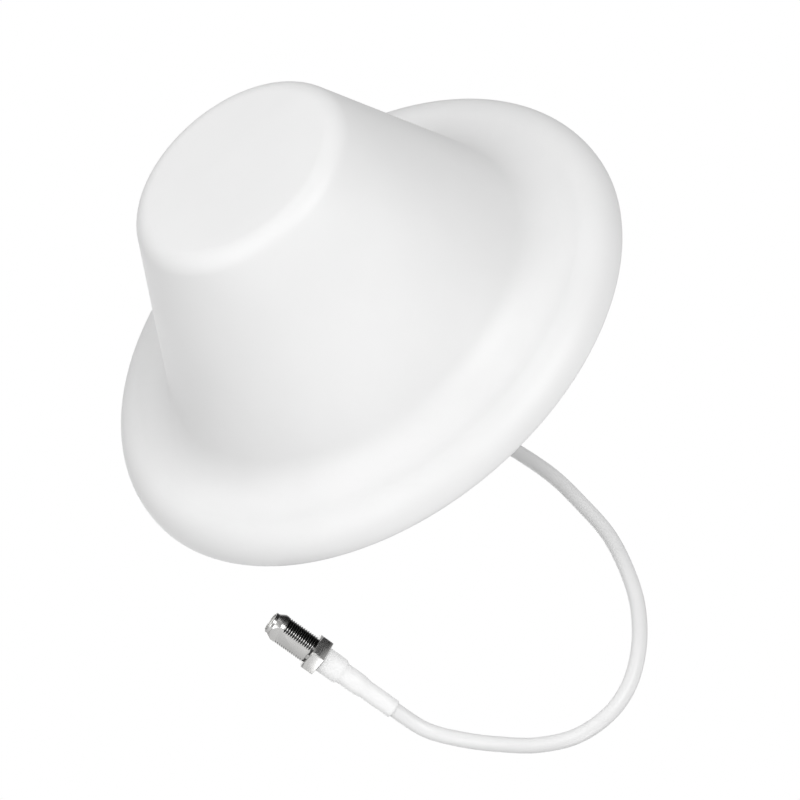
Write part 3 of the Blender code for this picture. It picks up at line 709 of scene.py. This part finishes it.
def makeNut():
    low, top = clamp["nutLow"], clamp["nutTop"]
    nut = lathe("clampNut", [
        (clamp["bore"], low), (clamp["bore"], clamp["flangeTop"]),
        (clamp["flange"] - 0.0006, clamp["flangeTop"]),
        (clamp["flange"] - 0.0001, clamp["flangeTop"] - 0.0003),
        (clamp["flange"], clamp["flangeTop"] - 0.0008), (clamp["flange"], low + 0.0004),
        (clamp["flange"] - 0.0004, low)], 128, ring=True)
    corner = clamp["acrossFlats"] / 2 / math.cos(math.pi / 6)
    dropSelection()
    bpy.ops.mesh.primitive_cylinder_add(vertices=6, radius=corner, depth=top - low - 0.0006,
                                        location=(0, 0, (top + low + 0.0006) / 2))
    hexagon = named("nutHexagon")
    softenEdges(hexagon, 0.0007, 3)
    settle(hexagon)
    cap = lathe("nutChamfer", [(0, low), (corner + 0.0005, low), (corner + 0.0005, top - 0.0022),
                               (corner - 0.0022, top), (0, top)], 128)
    combine(hexagon, cap, "INTERSECT")
    combine(nut, hexagon, "UNION")
    opening = lathe("nutOpening", [
        (0, low - 0.001), (clamp["bore"] + 0.0010, low - 0.001),
        (clamp["bore"] + 0.0010, low), (clamp["bore"], low + 0.0008),
        (clamp["bore"], top - 0.0008), (clamp["bore"] + 0.0009, top + 0.0001),
        (clamp["bore"] + 0.0009, top + 0.001), (0, top + 0.001)], 128)
    combine(nut, opening, "DIFFERENCE")
    ridge = threadRidge("nutThread", [
        (clamp["bore"] + 0.0004, -0.00060), (clamp["bore"], -0.00055), (clamp["crest"], -0.00015),
        (clamp["crest"], 0.00015), (clamp["bore"], 0.00055), (clamp["bore"] + 0.0004, 0.00060)],
        clamp["threadLow"], plate["pitch"], 3, 64)
    combine(nut, ridge, "UNION")
    cleanMesh(nut, 1e-6)
    roundShade(nut, 32)
    return nut


seat(makeWasher(), "washer", "natural_nylon", naturalNylon, "nut_washer")
seat(makeNut(), "nut", "white_abs", whiteAbs, "mounting_nut")
print("washer and nut made")


# cable gland in the top of the stud

gland = {"bore": 0.002475 + gap, "top": 0.0317, "tip": 0.0038, "flange": 0.0078,
         "flangeLow": 0.0263, "plug": 0.0047, "plugLow": 0.0150}


def makeGland():
    bore, top = gland["bore"], gland["top"]
    body = lathe("cableGland", [
        (bore, top - 0.0002), (bore + 0.0002, top), (gland["tip"] - 0.0002, top),
        (gland["tip"], top - 0.0003), (0.00425, 0.0306), (0.0040, 0.0303), (0.0040, 0.0300),
        (0.0045, 0.0298), (0.0052, 0.0292), (0.0048, 0.0290), (0.0060, 0.0285),
        (0.0075, 0.0281), (gland["flange"], 0.0278), (gland["flange"], gland["flangeLow"] + 0.0003),
        (gland["flange"] - 0.0003, gland["flangeLow"]), (gland["plug"], gland["flangeLow"]),
        (gland["plug"], gland["plugLow"] + 0.0004), (gland["plug"] - 0.0004, gland["plugLow"]),
        (bore, gland["plugLow"])], 96, ring=True)
    roundShade(body, 40)
    return body


seat(makeGland(), "antenna", "white_rubber", whiteRubber, "cable_grommet")
print("cable gland made")


# floor, background and lights

studio = {"floorHeight": -2.4, "floorSize": 160, "floorGlow": 0.55, "ambient": 0.40,
          "behind": (1, 1, 1), "aim": (0, -0.03, -0.02)}

dropSelection()
bpy.ops.mesh.primitive_grid_add(x_subdivisions=4, y_subdivisions=4, size=studio["floorSize"],
                                location=(0, 0, 0))
floor = named("studioFloor")
floor.location.z = studio["floorHeight"]
paleFloor, floorTree, floorShader, floorPlace = newFinish("paleFloor", (0.86, 0.86, 0.86), 0.7)
tint(floorTree, floorShader, grain(floorTree, floorPlace, 1.5), (0.85, 0.85, 0.85),
     (0.87, 0.87, 0.87))
floorShader.inputs["Emission Color"].default_value = (1, 1, 1, 1)
floorShader.inputs["Emission Strength"].default_value = studio["floorGlow"]
floor.data.materials.append(paleFloor)
floor.visible_diffuse = floor.visible_glossy = floor.visible_shadow = False

room = bpy.data.worlds.new("studioRoom")
room.use_nodes = True
bpy.context.scene.world = room
air = room.node_tree
backdrop = air.nodes["Background"]
backdrop.inputs["Strength"].default_value = 1
seen = air.nodes.new("ShaderNodeLightPath")
choose = air.nodes.new("ShaderNodeMix")
choose.data_type = "RGBA"
choose.inputs["A"].default_value = (studio["ambient"],) * 3 + (1,)
choose.inputs["B"].default_value = (*studio["behind"], 1)
air.links.new(seen.outputs["Is Camera Ray"], choose.inputs["Factor"])
air.links.new(choose.outputs["Result"], backdrop.inputs["Color"])

cardShape = {"length": 0.034, "alongJack": 0.028}
paintedReflectionCards = {  # painted reflections: glowing cards by the jack that only gloss sees, a near-black one and a pale one
    "paintedDarkReflectionCard": {"away": -0.016, "forward": 0.004, "width": 0.036, "near": 0.02, "far": 0.02},
    "paintedPaleReflectionCard": {"away": 0.020, "forward": 0.008, "width": 0.046, "near": 0.95, "far": 0.55}}


def standCard(name, setting):
    place = jackFrame()
    axis = place.col[2].to_3d()
    towardsEye = -(turn @ Vector((0, 0, -1)))
    towardsEye = (towardsEye - axis * towardsEye.dot(axis)).normalized()
    across = towardsEye.cross(axis)
    middle = place.translation + axis * cardShape["alongJack"]
    spot = middle + across * setting["away"] + towardsEye * setting["forward"]
    facing = across if setting["away"] < 0 else -across
    stand = Matrix((axis, facing.cross(axis), facing)).transposed().to_4x4()
    stand.translation = spot
    dropSelection()
    bpy.ops.mesh.primitive_grid_add(x_subdivisions=4, y_subdivisions=4, size=1)
    card = named(name)
    card.scale = (cardShape["length"], setting["width"], 1)
    settle(card)
    card.matrix_world = stand
    # the card's glow is a painted reflection; its strength changes from far to near across the
    # card's width
    glow = bpy.data.materials.new(name)
    glow.use_nodes = True
    tree = glow.node_tree
    tree.nodes.clear()
    lamp = tree.nodes.new("ShaderNodeEmission")
    out = tree.nodes.new("ShaderNodeOutputMaterial")
    where = tree.nodes.new("ShaderNodeTexCoord")
    split = tree.nodes.new("ShaderNodeSeparateXYZ")
    fade = tree.nodes.new("ShaderNodeMapRange")
    half = setting["width"] / 2
    fade.inputs["From Min"].default_value = -half
    fade.inputs["From Max"].default_value = half
    fade.inputs["To Min"].default_value = setting["far"]
    fade.inputs["To Max"].default_value = setting["near"]
    tree.links.new(where.outputs["Object"], split.inputs["Vector"])
    tree.links.new(split.outputs["Y"], fade.inputs["Value"])
    tree.links.new(fade.outputs["Result"], lamp.inputs["Strength"])
    tree.links.new(lamp.outputs["Emission"], out.inputs["Surface"])
    card.data.materials.append(glow)
    # only glossy rays see the card, so it shows only as a painted reflection
    card.visible_camera = card.visible_diffuse = card.visible_shadow = False
    card.visible_transmission = card.visible_volume_scatter = False


for cardName, setting in paintedReflectionCards.items():
    standCard(cardName, setting)

softboxes = {  # where each stands, its width and its power in watts
    "keySoftbox": {"stand": (-0.7, -0.8, -0.9), "size": 1.0, "power": 9.5},
    "sideSoftbox": {"stand": (0.7, -0.4, -1.1), "size": 1.1, "power": 6},
    "farSoftbox": {"stand": (0.3, 0.4, -1.2), "size": 1.1, "power": 3},
    "cableSoftbox": {"stand": (0.6, -1.1, 0.5), "size": 1.0, "power": 5},
    "topSoftbox": {"stand": (-0.9, -0.5, 0.8), "size": 1.1, "power": 2.5},
    "backSoftbox": {"stand": (0.4, 0.9, 0.9), "size": 1.2, "power": 4}}


def standSoftbox(name, setting):
    place = Vector(setting["stand"])
    aim = (place - Vector(studio["aim"])).to_track_quat("Z", "Y").to_euler()
    bpy.ops.object.light_add(type="AREA", location=place, rotation=aim)
    lamp = named(name)
    lamp.data.shape = "DISK"
    lamp.data.size = setting["size"]
    lamp.data.energy = setting["power"]
    lamp.visible_camera = False
    return lamp


for boxName, setting in softboxes.items():
    standSoftbox(boxName, setting)
bpy.context.scene.view_settings.view_transform = "Standard"
print("studio ready")
